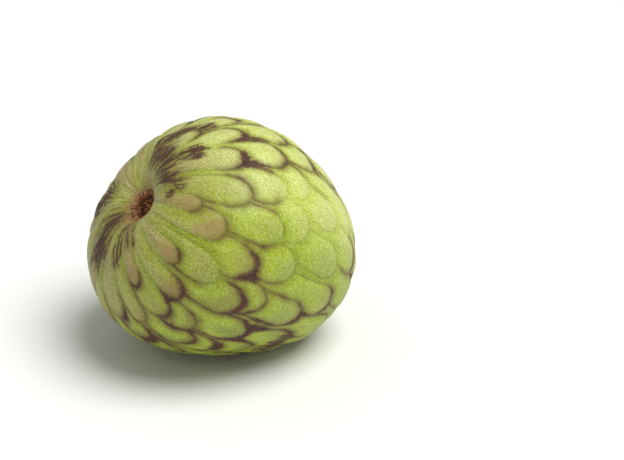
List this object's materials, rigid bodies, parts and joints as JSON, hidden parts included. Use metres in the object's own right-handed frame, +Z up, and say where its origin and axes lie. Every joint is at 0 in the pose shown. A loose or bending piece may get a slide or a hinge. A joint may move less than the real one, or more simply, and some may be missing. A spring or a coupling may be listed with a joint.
{
  "type": "custard apple",
  "caption": "Whole green custard apple lying on its side, with a scaled skin, a hollow around the stalk and the torn woody end of the stalk in it.",
  "frame": {"origin": "middle of the base: on the surface that the fruit rests on, under the middle of its bounding box", "axes": "+Z is up. The stalk points to -X, a little to -Y, and 35 degrees above level. -Y is the side that a viewer faces."},
  "size_m": [0.1084, 0.1034, 0.0965],
  "materials": {
    "skin": "satin green fruit skin with brown russet along the edges of its scales",
    "stalk_wood": "torn, dry, fibrous wood"
  },
  "bodies": {
    "root": {"fruit": "skin", "stalk_stub": "stalk_wood"}
  },
  "joints": []
}
